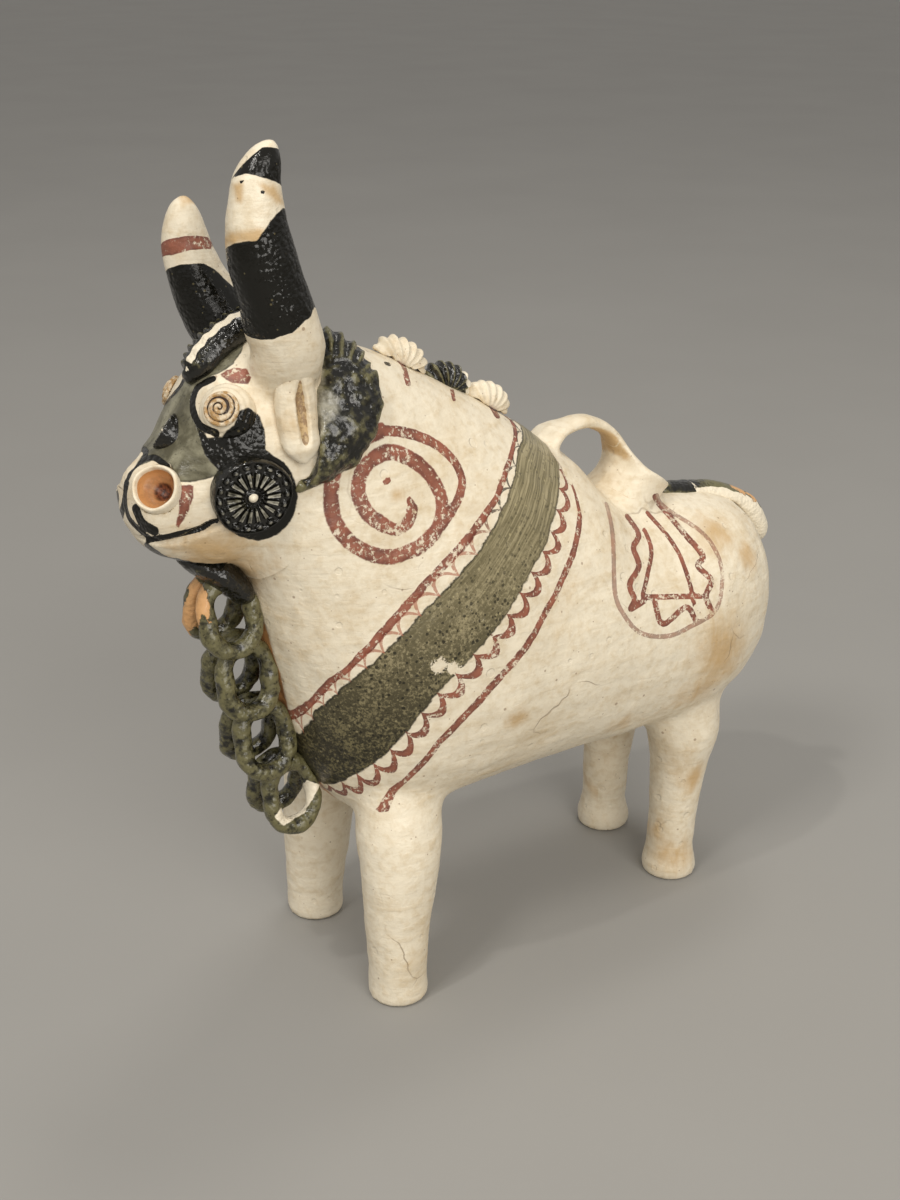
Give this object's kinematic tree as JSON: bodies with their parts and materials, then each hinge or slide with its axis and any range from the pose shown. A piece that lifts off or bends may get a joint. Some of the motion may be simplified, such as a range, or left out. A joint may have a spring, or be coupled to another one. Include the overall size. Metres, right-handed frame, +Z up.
{
  "type": "pucara bull",
  "caption": "Hollow fired-clay bull vessel on stub legs, with upright horns, stamped rosettes, a coil-loop dewlap, a painted collar, and a strap handle and spout on its back.",
  "frame": {"origin": "on the ground under the middle of the bounding box", "axes": "+Z up, the bull faces -Y, and +X is the bull's left side"},
  "size_m": [0.089, 0.2447, 0.2835],
  "materials": {
    "slip_body": "satin cream slip over fired clay, with red-brown and dark green painted bands",
    "slip_trim": "satin cream slip",
    "eye_pellet": "satin ochre slip",
    "horn_glaze": "glossy black-green glaze with cream tips",
    "dark_glaze": "glossy black-green glaze",
    "dewlap_glaze": "glossy olive-green glaze",
    "tail_glaze": "glossy brown-green glaze"
  },
  "bodies": {
    "root": {"trunk_shell": "slip_body", "rump_shell": "slip_body", "shoulder_shell": "slip_body", "neck_shell": "slip_body", "head_shell": "slip_body", "lower_jaw": "slip_body", "front_left_leg": "slip_body", "front_right_leg": "slip_body", "hind_left_leg": "slip_body", "hind_right_leg": "slip_body", "horn_left": "horn_glaze", "horn_right": "horn_glaze", "ear_left": "slip_trim", "ear_right": "slip_trim", "ruff_left": "dark_glaze", "ruff_right": "dark_glaze", "eye_left": "slip_trim", "eye_right": "slip_trim", "pupil_left": "eye_pellet", "pupil_right": "eye_pellet", "cheek_rosette_left": "dark_glaze", "cheek_rosette_right": "dark_glaze", "nostril_ring_left": "slip_trim", "nostril_ring_right": "slip_trim", "nose_rosette": "dark_glaze", "forelock": "dark_glaze", "mane_tuft_front": "slip_trim", "mane_tuft_middle": "dark_glaze", "mane_tuft_rear": "slip_trim", "chin_pad": "dark_glaze", "dewlap_loop_left_1": "dewlap_glaze", "dewlap_loop_left_2": "dewlap_glaze", "dewlap_loop_left_3": "dewlap_glaze", "dewlap_loop_left_4": "dewlap_glaze", "dewlap_loop_right_1": "dewlap_glaze", "dewlap_loop_right_2": "dewlap_glaze", "dewlap_loop_right_3": "dewlap_glaze", "dewlap_loop_right_4": "dewlap_glaze", "handle_strap": "slip_body", "spout": "slip_body", "tail": "tail_glaze"}
  },
  "joints": []
}
